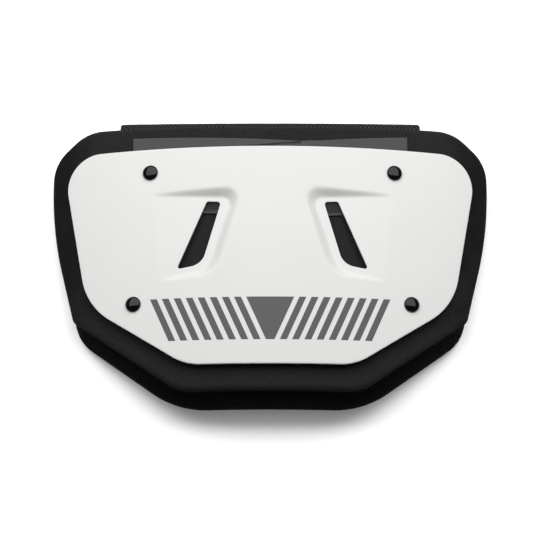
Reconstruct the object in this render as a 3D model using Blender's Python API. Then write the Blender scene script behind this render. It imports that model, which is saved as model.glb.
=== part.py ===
# Football back plate: a bent white shell riveted over moulded foam and a knit-covered pad
# Each layer is drawn flat, u across the back and v up it, and then bent round an axis along Y
# A depth is measured inwards from the shell's outer face, and all lengths are in metres

from math import cos, floor, pi, radians, sin, tan

import bmesh
import bpy
from mathutils import Matrix, Vector
from mathutils.geometry import delaunay_2d_cdt

# Shell
PLATE_WIDTH = 0.2986
PLATE_HEIGHT = 0.1613
PLATE_THICKNESS = 0.0022
BEND_RADIUS = 0.450
SCOOP_DEPTH = 0.0034

# Moulded foam under the shell, measured out from the shell's edges
FOAM_BORDER_SIDE = 0.0193
FOAM_BORDER_TOP = 0.0215
FOAM_BORDER_BOTTOM = 0.0176
FOAM_THICKNESS = 0.0080
FOAM_EDGE_RADIUS = 0.0040
FOAM_EDGE_STEPS = 3
LIP_WIDTH = 0.0010
LIP_THICKNESS = 0.0014
LIP_ROUNDING = 0.00025

# Knit-covered pad behind the foam
PAD_THICKNESS = 0.0176
PAD_FLARE = 0.0118
PAD_EDGE_RADIUS = 0.0055
TAB_WIDTH = 0.2335
TAB_RISE = 0.0060
TAB_DIP = 0.0051
TAB_TUCK = 0.0040
LANDING_WIDTH = 0.0180

# Woven straps between shell and foam
STRAP_WIDTH = 0.0580
STRAP_THICKNESS = 0.0012
STRAP_OVERHANG = 0.0139
STRAP_RAMP = 0.0075

# Rivets, with the bosses under the shell that they pass through
RIVET_HEAD_RADIUS = 0.0053
RIVET_HEAD_HEIGHT = 0.0026
RIVET_RIM = 0.0005
RIVET_DOME_STEPS = 4
RIVET_SHANK_RADIUS = 0.0025
RIVET_FLANGE_RADIUS = 0.0060
RIVET_FLANGE_THICKNESS = 0.0012
RIVET_SIDES = 18
BOSS_RADIUS = 0.0055

# Space between touching pieces, and the width of the flat strips that the curve is made of
CLEARANCE = 0.0003
FOLD_STEP = 0.0180

# Points closer than this are one point, and edges flatter than this are shaded smooth
MERGE = 0.000003
SMOOTH_ANGLE = radians(35)

# Depths of the layers
STRAP_LOW = PLATE_THICKNESS + SCOOP_DEPTH + CLEARANCE
STRAP_HIGH = STRAP_LOW - STRAP_THICKNESS - CLEARANCE
FOAM_FACE = STRAP_LOW + STRAP_THICKNESS + CLEARANCE
FOAM_BACK = FOAM_FACE + FOAM_THICKNESS
PAD_FACE = FOAM_BACK + CLEARANCE
PAD_BACK = PAD_FACE + PAD_THICKNESS

# Heights and half widths of the outlines, with v = 0 at the shell's middle
PLATE_HALF = PLATE_WIDTH / 2
PLATE_TOP = PLATE_HEIGHT / 2
FOAM_HALF = PLATE_HALF + FOAM_BORDER_SIDE
FOAM_TOP = PLATE_TOP + FOAM_BORDER_TOP
FOAM_BOTTOM = -PLATE_TOP - FOAM_BORDER_BOTTOM
FOAM_HEIGHT = FOAM_TOP - FOAM_BOTTOM
TAB_TOP = FOAM_TOP + TAB_RISE
PAD_BOTTOM = FOAM_BOTTOM + LIP_WIDTH - PAD_FLARE

# The floor cuts the pad's back where the landing strips begin, and Y = 0 is the middle of the whole
MIDDLE_Y = (TAB_TOP + PAD_BOTTOM) / 2
AXIS_Z = -(BEND_RADIUS - PAD_BACK) * cos((FOAM_HALF - LANDING_WIDTH) / BEND_RADIUS)

# Corners of the shell's right half from top to bottom
# Columns: across as a share of PLATE_HALF, up and radius as shares of PLATE_HEIGHT, segments
PLATE_CORNERS = (
    (1.044, 1.000, 0.180, 8),
    (0.889, 0.286, 0.300, 4),
    (0.402, 0.000, 0.345, 3),
)

# Corners of the foam's right half from the dip at its top middle to the bottom
# Columns: across as a share of FOAM_HALF, up and radius as shares of FOAM_HEIGHT, segments
FOAM_CORNERS = (
    (0.000, 0.986, 0.000, 0),
    (0.837, 1.000, 0.188, 4),
    (1.000, 0.890, 0.115, 5),
    (1.000, 0.635, 1.300, 4),
    (0.881, 0.275, 0.035, 3),
    (0.393, 0.000, 0.160, 4),
)

# Corners of the pad's right half below the tab, along its seam with the foam
# Columns: across as a share of FOAM_HALF, up and radius as shares of FOAM_HEIGHT, segments,
# then how far the widest line stands outside the seam, across and up, as shares of PAD_FLARE
PAD_CORNERS = (
    (0.826, 0.980, 0.165, 4, 0.10, 0.05),
    (0.985, 0.884, 0.110, 4, 0.10, 0.05),
    (0.988, 0.643, 1.300, 4, 0.15, 0.00),
    (0.874, 0.279, 0.160, 4, 0.34, -0.96),
    (0.391, 0.005, 0.300, 4, 0.31, -1.00),
)

# Sections of the pad from its face to its back, whose tab is rounded off towards the back
# Columns: depth as a share of PAD_THICKNESS, share of the way from seam to widest line,
# inset as a share of PAD_EDGE_RADIUS, height of the tab as a share of its whole height
PAD_SECTIONS = (
    (0.00, 0.00, 0.25, 0.92),
    (0.03, 0.00, 0.10, 0.97),
    (0.09, 0.03, 0.00, 1.00),
    (0.20, 0.24, 0.00, 1.00),
    (0.38, 0.62, 0.00, 0.95),
    (0.55, 0.92, 0.00, 0.84),
    (0.70, 1.00, 0.00, 0.68),
    (0.82, 1.00, 0.10, 0.53),
    (0.93, 1.00, 0.40, 0.41),
    (1.00, 1.00, 1.00, 0.35),
)

# Corners of the right scoop's rim and foot, from the upper tail round its inner side to the lower tail
# Columns: rim across as a share of PLATE_HALF, rim up and radius as shares of PLATE_HEIGHT,
# the same three for the foot, segments
SCOOP_CORNERS = (
    (0.560, 0.787, 0.000, 0.560, 0.787, 0.000, 0),
    (0.143, 0.821, 0.066, 0.217, 0.768, 0.046, 6),
    (0.283, 0.405, 0.136, 0.319, 0.435, 0.074, 5),
    (0.538, 0.381, 0.000, 0.538, 0.381, 0.000, 0),
)
# Where the scoop's floor is at its full depth, as a share of PLATE_HALF
SCOOP_FULL = 0.250

# Corners of the right vent slot: top outer, top inner, bottom inner and tip
# Columns: across as a share of PLATE_HALF, up and radius as shares of PLATE_HEIGHT, segments
SLOT_CORNERS = (
    (0.317, 0.745, 0.009, 2),
    (0.253, 0.743, 0.009, 2),
    (0.341, 0.461, 0.087, 5),
    (0.460, 0.431, 0.008, 3),
)

# Rivets: name, side, inset from the shell's widest line, height as a share of half the shell's
# height, and whether a strap lies under it
RIVETS = (
    ("rivet_upper_left", -1, 0.0600, 0.769, True),
    ("rivet_upper_right", 1, 0.0600, 0.769, True),
    ("rivet_lower_left", -1, 0.0498, -0.444, False),
    ("rivet_lower_right", 1, 0.0498, -0.444, False),
)

# Straps: name, side, tilt, rise of the outer top corner over the shell's top edge,
# reach of the inner end past the middle, depth of the outer stretch and of the inner stretch
STRAPS = (
    ("strap_left", -1, radians(2.6), 0.0110, 0.0220, STRAP_LOW, STRAP_LOW),
    ("strap_right", 1, radians(6.0), 0.0131, 0.0240, STRAP_LOW, STRAP_HIGH),
)


def clear_scene():
    for item in list(bpy.data.objects):
        bpy.data.objects.remove(item, do_unlink=True)


def make_material(name, colour, roughness):
    material = bpy.data.materials.new(name)
    material.use_nodes = True
    shader = material.node_tree.nodes["Principled BSDF"]
    shader.inputs["Base Color"].default_value = (*colour, 1.0)
    shader.inputs["Roughness"].default_value = roughness
    shader.inputs["Metallic"].default_value = 0.0
    return material


def strip_of(u):
    """Number of the flat strip that u lies on, counted from the middle one."""
    return floor(u / FOLD_STEP + 0.5)


def fold_lines(reach):
    """Every u between -reach and reach where one flat strip meets the next."""
    count = int(reach / FOLD_STEP + 0.5)
    return [(i + 0.5) * FOLD_STEP for i in range(-count - 1, count + 1)]


def bend(u, v, depth):
    """Point of the bent object for a point of the flat drawing."""
    start = (strip_of(u) - 0.5) * FOLD_STEP
    share = (u - start) / FOLD_STEP
    first = start / BEND_RADIUS
    last = (start + FOLD_STEP) / BEND_RADIUS
    radius = BEND_RADIUS - depth
    x = radius * ((1 - share) * sin(first) + share * sin(last))
    z = radius * ((1 - share) * cos(first) + share * cos(last))
    return Vector((x, v - MIDDLE_Y, AXIS_Z + z))


def crossing(point_a, along_a, point_b, along_b):
    """Where two lines meet."""
    gap = point_b - point_a
    share = gap.cross(along_b) / along_a.cross(along_b)
    return point_a + along_a * share


def arc(corner, before, after, radius, segments):
    """Points of a rounded corner between the directions before and after."""
    turn = before.angle_signed(after)
    side = -1 if turn > 0 else 1
    turn = abs(turn)
    normal = Vector((-before.y, before.x)) * side
    start = corner - before * (radius * tan(turn / 2))
    centre = start + normal * radius
    points = []
    for i in range(segments + 1):
        spin = Matrix.Rotation(side * turn * i / segments, 2)
        points.append(centre - spin @ normal * radius)
    return points


def rounded(corners, inset=0.0, closed=True):
    """Outline through corners of (u, v, radius, segments), counter-clockwise, moved in by inset."""
    count = len(corners)
    places = [Vector(corner[:2]) for corner in corners]
    sides = []
    for i in range(count):
        along = (places[(i + 1) % count] - places[i]).normalized()
        inward = Vector((-along.y, along.x))
        sides.append((places[i] + inward * inset, along))
    points = []
    for i in range(count):
        if not closed and i in (0, count - 1):
            points.append(places[i])
            continue
        before, after = sides[i - 1], sides[i]
        corner = crossing(*before, *after)
        radius, segments = corners[i][2:4]
        if segments == 0:
            points.append(corner)
            continue
        convex = before[1].cross(after[1]) > 0
        radius = max(radius - inset if convex else radius + inset, CLEARANCE)
        points.extend(arc(corner, before[1], after[1], radius, segments))
    return points


def both_halves(right):
    """Whole counter-clockwise corner list from the right half, which runs from top to bottom."""
    left = [(-corner[0], *corner[1:]) for corner in right]
    if right[0][0] == 0:
        return left + right[:0:-1]
    return left + right[::-1]


def plate_corners():
    right = []
    for across, up, radius, segments in PLATE_CORNERS:
        v = up * PLATE_HEIGHT - PLATE_TOP
        right.append((across * PLATE_HALF, v, radius * PLATE_HEIGHT, segments))
    return both_halves(right)


def foam_corners():
    right = []
    for across, up, radius, segments in FOAM_CORNERS:
        v = FOAM_BOTTOM + up * FOAM_HEIGHT
        right.append((across * FOAM_HALF, v, radius * FOAM_HEIGHT, segments))
    return both_halves(right)


def pad_corners(widen, rise):
    """Corners of the pad, from its seam line at widen 0 to its widest line at widen 1."""
    tuck = FOAM_TOP - TAB_TUCK
    top = tuck + rise * (TAB_TOP - tuck)
    right = [
        (0.0, top - rise * TAB_DIP, 0.0, 0),
        (TAB_WIDTH / 2, top, 0.0, 0),
        (TAB_WIDTH / 2, tuck, 0.0, 0),
    ]
    for across, up, radius, segments, out, over in PAD_CORNERS:
        u = across * FOAM_HALF + widen * out * PAD_FLARE
        v = FOAM_BOTTOM + up * FOAM_HEIGHT + widen * over * PAD_FLARE
        right.append((u, v, radius * FOAM_HEIGHT, segments))
    return both_halves(right)


def divide(outline, loops, creases):
    """Triangles of a flat outline split along loops, creases and folds, with the loops each is in."""
    points = []
    edges = []
    faces = []
    for loop in [outline] + loops:
        first = len(points)
        points.extend(Vector(point) for point in loop)
        faces.append(list(range(first, len(points))))
    for line in creases:
        first = len(points)
        points.extend(Vector(point) for point in line)
        edges.extend((i, i + 1) for i in range(first, len(points) - 1))
    reach = max(abs(point[0]) for point in outline)
    low = min(point[1] for point in outline) - FOLD_STEP
    high = max(point[1] for point in outline) + FOLD_STEP
    for u in fold_lines(reach):
        edges.append((len(points), len(points) + 1))
        points.extend((Vector((u, low)), Vector((u, high))))
    flat = delaunay_2d_cdt(points, edges, faces, 0, MERGE)
    pieces = [(triangle, owner) for triangle, owner in zip(flat[2], flat[5]) if 0 in owner]
    return flat[0], pieces


def sheet(name, outline, holes, pads, creases, top, thickness, material):
    """Bent sheet with holes; top gives its depth, and each pad of (loop, depth) thickens it inwards."""
    spots, pieces = divide(outline, holes + [loop for loop, depth in pads], creases)
    shape = bmesh.new()
    made = {}

    def vertex(i, level):
        """Vertex i on the outer face at level None, on the inner face at 0 or on a pad above 0."""
        if (i, level) not in made:
            depth = top(*spots[i])
            if level == 0:
                depth += thickness
            elif level:
                depth = pads[level - 1][1]
            made[i, level] = shape.verts.new(bend(*spots[i], depth))
        return made[i, level]

    borders = {}
    for (a, b, c), owner in pieces:
        if any(0 < face <= len(holes) for face in owner):
            continue
        level = max(0, max(owner) - len(holes))
        shape.faces.new((vertex(a, None), vertex(b, None), vertex(c, None)))
        shape.faces.new((vertex(c, level), vertex(b, level), vertex(a, level)))
        borders.update({(a, b): level, (b, c): level, (c, a): level})
    for (a, b), level in borders.items():
        other = borders.get((b, a))
        if other is None or (level > 0 and other == 0):
            shape.faces.new((vertex(b, other), vertex(a, other), vertex(a, level), vertex(b, level)))
    return finish(name, shape, material)


def bridge(shape, loops):
    """Walls between loops of (depth, points), each loop with as many points as the next."""
    rows = [[shape.verts.new((u, v, -depth)) for u, v in points] for depth, points in loops]
    for above, below in zip(rows, rows[1:]):
        for i in range(len(above)):
            after = (i + 1) % len(above)
            shape.faces.new((above[after], above[i], below[i], below[after]))


def cap(shape, depth, outline, holes):
    """Flat face at one depth, already split along the folds."""
    spots, pieces = divide(outline, holes, [])
    made = {}
    for triangle, owner in pieces:
        if owner == [0]:
            for i in triangle:
                if i not in made:
                    made[i] = shape.verts.new((*spots[i], -depth))
            shape.faces.new([made[i] for i in triangle])


def loft(name, sections, holes, floor_cut, material):
    """Bent solid through sections of (depth, outline), face first, with stepped holes through it."""
    shape = bmesh.new()
    bridge(shape, sections)
    for hole in holes:
        bridge(shape, hole)
    for u in fold_lines(max(abs(vertex.co.x) for vertex in shape.verts)):
        parts = shape.verts[:] + shape.edges[:] + shape.faces[:]
        bmesh.ops.bisect_plane(shape, geom=parts, dist=MERGE, plane_co=(u, 0, 0), plane_no=(1, 0, 0))
    for end in (0, -1):
        depth, outline = sections[end]
        cap(shape, depth, outline, [hole[end][1] for hole in holes])
    bmesh.ops.remove_doubles(shape, verts=shape.verts, dist=MERGE)
    for vertex in shape.verts:
        vertex.co = bend(vertex.co.x, vertex.co.y, -vertex.co.z)
    if floor_cut:
        parts = shape.verts[:] + shape.edges[:] + shape.faces[:]
        bmesh.ops.bisect_plane(
            shape, geom=parts, dist=MERGE, plane_co=(0, 0, 0), plane_no=(0, 0, -1), clear_outer=True
        )
        open_edges = [edge for edge in shape.edges if edge.is_boundary]
        bmesh.ops.holes_fill(shape, edges=open_edges)
    return finish(name, shape, material)


def turned(name, profile, material):
    """Solid of revolution about Z through a profile of (radius, height) from the top down."""
    shape = bmesh.new()
    rings = []
    for radius, height in profile:
        if radius == 0:
            rings.append([shape.verts.new((0, 0, height))])
            continue
        ring = []
        for i in range(RIVET_SIDES):
            angle = 2 * pi * i / RIVET_SIDES
            ring.append(shape.verts.new((radius * cos(angle), radius * sin(angle), height)))
        rings.append(ring)
    for above, below in zip(rings, rings[1:]):
        for i in range(RIVET_SIDES):
            after = (i + 1) % RIVET_SIDES
            if len(above) == 1:
                shape.faces.new((above[0], below[i], below[after]))
            elif len(below) == 1:
                shape.faces.new((above[after], above[i], below[0]))
            else:
                shape.faces.new((above[after], above[i], below[i], below[after]))
    return finish(name, shape, material)


def finish(name, shape, material):
    """Object from a closed shape, triangulated, with its faces pointing out."""
    bmesh.ops.remove_doubles(shape, verts=shape.verts, dist=MERGE)
    bmesh.ops.recalc_face_normals(shape, faces=shape.faces)
    if shape.calc_volume(signed=True) < 0:
        bmesh.ops.reverse_faces(shape, faces=shape.faces)
    bmesh.ops.triangulate(shape, faces=shape.faces)
    mesh = bpy.data.meshes.new(name)
    shape.to_mesh(mesh)
    shape.free()
    mesh.shade_smooth()
    mesh.set_sharp_from_angle(angle=SMOOTH_ANGLE)
    mesh.materials.append(material)
    item = bpy.data.objects.new(name, mesh)
    bpy.context.collection.objects.link(item)
    return item


def rivet_place(row):
    """Where a rivet's axis meets the shell's outer face, as u and v."""
    side, inset, height = row[1:4]
    return side * (PLATE_HALF - inset), height * PLATE_TOP


def stand_on_shell(item, u, v):
    """Put an object's origin on the shell's outer face with its Z axis pointing out of it."""
    angle = u / BEND_RADIUS
    item.location = (BEND_RADIUS * sin(angle), v - MIDDLE_Y, AXIS_Z + BEND_RADIUS * cos(angle))
    item.rotation_euler = (0, angle, 0)


def circle(u, v, radius):
    """Counter-clockwise loop with as many sides as a rivet."""
    angles = [2 * pi * i / RIVET_SIDES for i in range(RIVET_SIDES)]
    return [(u + radius * cos(angle), v + radius * sin(angle)) for angle in angles]


def scoop_lines(side):
    """Rim and foot of one scoop as open lines, and the line where its floor fades out."""
    rim_corners = []
    foot_corners = []
    for row in SCOOP_CORNERS:
        rim_across, rim_up, rim_radius, foot_across, foot_up, foot_radius, segments = row
        rim_v = rim_up * PLATE_HEIGHT - PLATE_TOP
        foot_v = foot_up * PLATE_HEIGHT - PLATE_TOP
        rim_corners.append((rim_across * PLATE_HALF, rim_v, rim_radius * PLATE_HEIGHT, segments))
        foot_corners.append((foot_across * PLATE_HALF, foot_v, foot_radius * PLATE_HEIGHT, segments))
    rim = rounded(rim_corners, closed=False)
    foot = rounded(foot_corners, closed=False)
    return [[Vector((side * u, v)) for u, v in line] for line in (rim, foot, (foot[-1], foot[0]))]


def near_or_inside(u, v, loop):
    """Whether a point lies in a closed loop or on its line."""
    inside = False
    for a, b in zip(loop, loop[1:] + loop[:1]):
        along = b - a
        share = min(1, max(0, (Vector((u, v)) - a).dot(along) / along.length_squared))
        if (a + along * share - Vector((u, v))).length < 10 * MERGE:
            return True
        if (a.y > v) != (b.y > v) and u < a.x + (v - a.y) * along.x / along.y:
            inside = not inside
    return inside


def shell_depth(u, v):
    """Depth of the shell's outer face: nothing but in the scoops, whose floors slope inwards."""
    foot = scoop_lines(1)[1]
    u = abs(u)
    if not near_or_inside(u, v, foot):
        return 0.0
    share = (v - foot[-1].y) / (foot[0].y - foot[-1].y)
    fade = foot[-1].x + share * (foot[0].x - foot[-1].x)
    full = SCOOP_FULL * PLATE_HALF
    return SCOOP_DEPTH * min(1, max(0, (fade - u) / (fade - full)))


def slot(side):
    corners = []
    for across, up, radius, segments in SLOT_CORNERS:
        corners.append((across * PLATE_HALF, up * PLATE_HEIGHT - PLATE_TOP, radius * PLATE_HEIGHT, segments))
    points = rounded(corners)
    if side > 0:
        return points
    return [Vector((-u, v)) for u, v in points[::-1]]


def make_outer_plate():
    white = make_material("moulded_white_plastic", (0.80, 0.80, 0.79), 0.45)
    creases = scoop_lines(-1) + scoop_lines(1)
    holes = [slot(-1), slot(1)]
    bosses = []
    for row in RIVETS:
        under = STRAP_LOW if row[4] else FOAM_FACE
        holes.append(circle(*rivet_place(row), RIVET_SHANK_RADIUS + CLEARANCE))
        bosses.append((circle(*rivet_place(row), BOSS_RADIUS), under - CLEARANCE))
    outline = rounded(plate_corners())
    sheet("outer_plate", outline, holes, bosses, creases, shell_depth, PLATE_THICKNESS, white)


def make_front_foam():
    black = make_material("moulded_black_foam", (0.022, 0.022, 0.023), 0.60)
    corners = foam_corners()
    sections = []
    for i in range(FOAM_EDGE_STEPS + 1):
        angle = pi / 2 * i / FOAM_EDGE_STEPS
        inset = LIP_WIDTH + FOAM_EDGE_RADIUS * (1 - sin(angle))
        depth = FOAM_FACE + FOAM_EDGE_RADIUS * (1 - cos(angle))
        sections.append((depth, rounded(corners, inset)))
    lip_face = FOAM_BACK - LIP_THICKNESS
    sections.append((lip_face, rounded(corners, LIP_WIDTH)))
    sections.append((lip_face, rounded(corners, LIP_ROUNDING)))
    sections.append((lip_face + LIP_THICKNESS / 2, rounded(corners)))
    sections.append((FOAM_BACK, rounded(corners, LIP_ROUNDING)))
    pocket = FOAM_BACK - RIVET_FLANGE_THICKNESS - CLEARANCE
    holes = []
    for row in RIVETS:
        narrow = circle(*rivet_place(row), RIVET_SHANK_RADIUS + CLEARANCE)
        wide = circle(*rivet_place(row), RIVET_FLANGE_RADIUS + CLEARANCE)
        holes.append([(FOAM_FACE, narrow), (pocket, narrow), (pocket, wide), (FOAM_BACK, wide)])
    loft("front_foam", sections, holes, False, black)


def make_rear_pad():
    knit = make_material("black_spacer_knit", (0.012, 0.012, 0.014), 0.90)
    sections = []
    for share, widen, inset, rise in PAD_SECTIONS:
        outline = rounded(pad_corners(widen, rise), inset * PAD_EDGE_RADIUS)
        sections.append((PAD_FACE + share * PAD_THICKNESS, outline))
    loft("rear_pad", sections, [], True, knit)


def make_strap(row):
    name, side, tilt, rise, reach, outer_depth, inner_depth = row
    webbing = make_material(f"{name}_webbing", (0.085, 0.085, 0.088), 0.80)
    rivet = next(entry for entry in RIVETS if entry[1] == side and entry[4])
    rivet_u, rivet_v = rivet_place(rivet)
    outer = abs(rivet_u) + STRAP_OVERHANG
    top = PLATE_TOP + rise
    fall = tan(tilt) * (outer + reach)
    drop = STRAP_WIDTH / cos(tilt)
    corners = [(-reach, top - fall), (-reach, top - fall - drop), (outer, top - drop), (outer, top)]
    outline = [(side * u, v) for u, v in corners]
    hole = circle(rivet_u, rivet_v, RIVET_SHANK_RADIUS + CLEARANCE)
    if side < 0:
        outline = outline[::-1]
    ramp_low = SCOOP_CORNERS[1][3] * PLATE_HALF
    ramp_high = ramp_low - STRAP_RAMP

    def depth(u, v):
        share = min(1, max(0, (side * u - ramp_high) / (ramp_low - ramp_high)))
        return inner_depth + share * (outer_depth - inner_depth)

    creases = []
    if inner_depth != outer_depth:
        for u in (ramp_low, ramp_high):
            creases.append([(side * u, top - fall - drop - FOLD_STEP), (side * u, top + FOLD_STEP)])
    sheet(name, outline, [hole], [], creases, depth, STRAP_THICKNESS, webbing)


def make_rivet(row):
    gloss = make_material(f"{row[0]}_black_plastic", (0.010, 0.010, 0.010), 0.12)
    head = RIVET_HEAD_HEIGHT + CLEARANCE
    flange_top = -(FOAM_BACK - RIVET_FLANGE_THICKNESS)
    profile = [(0, head)]
    for i in range(1, RIVET_DOME_STEPS + 1):
        angle = pi / 2 * i / RIVET_DOME_STEPS
        height = CLEARANCE + RIVET_RIM + (RIVET_HEAD_HEIGHT - RIVET_RIM) * cos(angle)
        profile.append((RIVET_HEAD_RADIUS * sin(angle), height))
    profile.append((RIVET_HEAD_RADIUS, CLEARANCE))
    profile.append((RIVET_SHANK_RADIUS, CLEARANCE))
    profile.append((RIVET_SHANK_RADIUS, flange_top))
    profile.append((RIVET_FLANGE_RADIUS, flange_top))
    profile.append((RIVET_FLANGE_RADIUS, -FOAM_BACK))
    profile.append((0, -FOAM_BACK))
    rivet = turned(row[0], profile, gloss)
    stand_on_shell(rivet, *rivet_place(row))


def main():
    clear_scene()
    make_outer_plate()
    make_front_foam()
    make_rear_pad()
    for row in STRAPS:
        make_strap(row)
    for row in RIVETS:
        make_rivet(row)


main()
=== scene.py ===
# Football back plate: the looks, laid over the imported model
# Every layer is drawn flat, u across and v up, with its depth below the shell's face, and is then bent

from math import asin, ceil, cos, pi, radians, sin, tan

import bmesh
import bpy
import numpy as np
from mathutils import Matrix, Vector
from mathutils.geometry import delaunay_2d_cdt


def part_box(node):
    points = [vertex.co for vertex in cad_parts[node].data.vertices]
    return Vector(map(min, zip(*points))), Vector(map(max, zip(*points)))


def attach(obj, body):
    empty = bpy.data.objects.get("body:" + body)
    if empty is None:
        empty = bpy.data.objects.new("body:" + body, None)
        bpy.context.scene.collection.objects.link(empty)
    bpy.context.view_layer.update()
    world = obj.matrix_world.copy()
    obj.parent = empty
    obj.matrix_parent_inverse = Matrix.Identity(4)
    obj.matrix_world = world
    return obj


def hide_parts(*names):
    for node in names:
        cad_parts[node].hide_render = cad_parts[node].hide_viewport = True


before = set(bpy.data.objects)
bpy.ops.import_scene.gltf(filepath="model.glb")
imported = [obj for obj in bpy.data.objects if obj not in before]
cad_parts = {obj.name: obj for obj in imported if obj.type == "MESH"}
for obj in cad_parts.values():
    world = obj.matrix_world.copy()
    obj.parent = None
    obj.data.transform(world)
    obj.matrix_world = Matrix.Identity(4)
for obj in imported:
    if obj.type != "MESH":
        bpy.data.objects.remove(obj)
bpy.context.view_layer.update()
mm = 0.001
print("stage: frame loaded")

# The bend that all layers share, and the depths of the layers
bend = {
    "radius": 450 * mm,
    "cadStrip": 18 * mm,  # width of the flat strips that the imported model's curve is made of
}
layers = {
    "shell": 2.2 * mm,
    "scoop": 3.4 * mm,
    "strap": 1.2 * mm,
    "foam": 8.0 * mm,
    "pad": 17.6 * mm,
    "gap": 0.3 * mm,
}
strapLow = layers["shell"] + layers["scoop"] + layers["gap"]
strapHigh = strapLow - layers["strap"] - layers["gap"]
foamFace = strapLow + layers["strap"] + layers["gap"]
foamBack = foamFace + layers["foam"]
padFace = foamBack + layers["gap"]

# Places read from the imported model
shellLow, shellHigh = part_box("outer_plate")
foamLow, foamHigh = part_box("front_foam")
padLow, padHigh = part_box("rear_pad")
axisZ = shellHigh.z - bend["radius"] * cos(bend["cadStrip"] / 2 / bend["radius"])
middleY = (shellLow.y + shellHigh.y) / 2
shellHeight = shellHigh.y - shellLow.y
shellTop = shellHeight / 2
shellHalf = bend["radius"] * asin(shellHigh.x / bend["radius"])
foamWidest = foamFace + 5.9 * mm  # depth of the foam's widest line
foamHalf = bend["radius"] * asin(foamHigh.x / (bend["radius"] - foamWidest))
foamTop = foamHigh.y - middleY
foamBottom = foamLow.y - middleY
foamHeight = foamTop - foamBottom

mergeDistance = 0.003 * mm
sharpAngle = radians(40)


# Outlines

def crossing(placeA, alongA, placeB, alongB):
    gap = placeB - placeA
    return placeA + alongA * (gap.cross(alongB) / alongA.cross(alongB))


def roundedLine(corners, pitch, inset=0.0, closed=True, counts=None):
    # Corners are (u, v, radius), counter-clockwise; arcs get a point about every pitch, or counts[i] steps
    count = len(corners)
    places = [Vector(corner[:2]) for corner in corners]
    sides = []
    for i in range(count):
        along = (places[(i + 1) % count] - places[i]).normalized()
        sides.append((places[i] + Vector((-along.y, along.x)) * inset, along))
    line = []
    for i in range(count):
        if not closed and i in (0, count - 1):
            line.append(places[i])
            continue
        before, after = sides[i - 1][1], sides[i][1]
        corner = crossing(*sides[i - 1], *sides[i])
        if corners[i][2] == 0:
            line.append(corner)
            continue
        left = before.cross(after) > 0
        turn = before.angle(after)
        steps = counts[i] if counts else arcSteps(corners[i][2], turn, pitch)
        radius = max(corners[i][2] - inset if left else corners[i][2] + inset, 0.1 * mm)
        hand = 1 if left else -1
        inward = Vector((-before.y, before.x)) * hand
        centre = corner - before * (radius * tan(turn / 2)) + inward * radius
        for k in range(steps + 1):
            line.append(centre - Matrix.Rotation(hand * turn * k / steps, 2) @ inward * radius)
    return line


def arcSteps(radius, turn, pitch):
    return max(3, ceil(radius * turn / pitch))


def arcCounts(corners, pitch):
    # Steps of every corner's arc, for lines that must have as many points as this one
    places = [Vector(corner[:2]) for corner in corners]
    counts = []
    for i, corner in enumerate(corners):
        turn = (places[i] - places[i - 1]).angle(places[(i + 1) % len(corners)] - places[i])
        counts.append(arcSteps(corner[2], turn, pitch))
    return counts


def stepsAlong(line, pitch):
    # How many steps each side of a closed line is cut into
    return [max(1, ceil((line[(i + 1) % len(line)] - line[i]).length / pitch)) for i in range(len(line))]


def cutLine(line, steps):
    made = []
    for i, count in enumerate(steps):
        after = line[(i + 1) % len(line)]
        made.extend(line[i].lerp(after, k / count) for k in range(count))
    return made


def insetRings(corners, profile, pitch):
    # One ring for each (inset, depth) of the profile, all with as many points
    steps = stepsAlong(roundedLine(corners, pitch), pitch)
    return [(cutLine(roundedLine(corners, pitch, inset), steps), depth) for inset, depth in profile]


def bothHalves(right):
    # A whole outline from its right half, which runs from top to bottom
    left = [(-corner[0], *corner[1:]) for corner in right]
    if right[0][0] == 0:
        return left + right[:0:-1]
    return left + right[::-1]


def circleLine(u, v, radius, count):
    angles = [2 * pi * k / count for k in range(count)]
    return [Vector((u + radius * cos(angle), v + radius * sin(angle))) for angle in angles]


def roundOver(radius, steps, start=0.0):
    # Quarter round as (inset, depth), from the face to the wall
    angles = [pi / 2 * k / steps for k in range(steps + 1)]
    return [(radius * (1 - sin(angle)), start + radius * (1 - cos(angle))) for angle in angles]


def distanceToLine(points, line, closed=True):
    # Nearest distance from each point to a line, and how far along the line that is
    line = np.array([tuple(place) for place in line])
    starts = line if closed else line[:-1]
    ends = np.roll(line, -1, axis=0) if closed else line[1:]
    best = np.full(len(points), np.inf)
    place = np.zeros(len(points))
    passed = 0.0
    for start, end in zip(starts, ends):
        along = end - start
        length = np.hypot(*along)
        share = np.clip((points - start) @ along / length**2, 0, 1)
        gap = np.hypot(*(points - start - share[:, None] * along).T)
        place = np.where(gap < best, passed + share * length, place)
        best = np.minimum(best, gap)
        passed += length
    return best, place, passed


def insideLine(points, line):
    line = np.array([tuple(place) for place in line])
    inside = np.zeros(len(points), bool)
    for a, b in zip(line, np.roll(line, -1, axis=0)):
        if a[1] == b[1]:
            continue
        passes = (a[1] > points[:, 1]) != (b[1] > points[:, 1])
        inside ^= passes & (points[:, 0] < a[0] + (points[:, 1] - a[1]) * (b[0] - a[0]) / (b[1] - a[1]))
    return inside


# Meshes

def fillFlat(outer, holes, pitch):
    # Triangles inside a line and outside its holes, over an even grid of points
    rings = [outer] + holes
    reach = np.abs(np.array([tuple(place) for place in outer])).max(axis=0)
    grid = [(np.arange(-int(r / pitch) - 1, int(r / pitch) + 1) + 0.5) * pitch for r in reach]
    grid = np.stack(np.meshgrid(*grid), -1).reshape(-1, 2)
    grid = grid[insideLine(grid, outer)]
    for hole in holes:
        grid = grid[~insideLine(grid, hole)]
    for ring in rings:
        grid = grid[distanceToLine(grid, ring)[0] > 0.6 * pitch]
    points = [place for ring in rings for place in ring] + [Vector(place) for place in grid]
    faces = []
    first = 0
    for ring in rings:
        faces.append(list(range(first, first + len(ring))))
        first += len(ring)
    flat = delaunay_2d_cdt(points, [], faces, 0, mergeDistance)
    return flat[0], [triangle for triangle, owner in zip(flat[2], flat[5]) if list(owner) == [0]]


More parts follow.
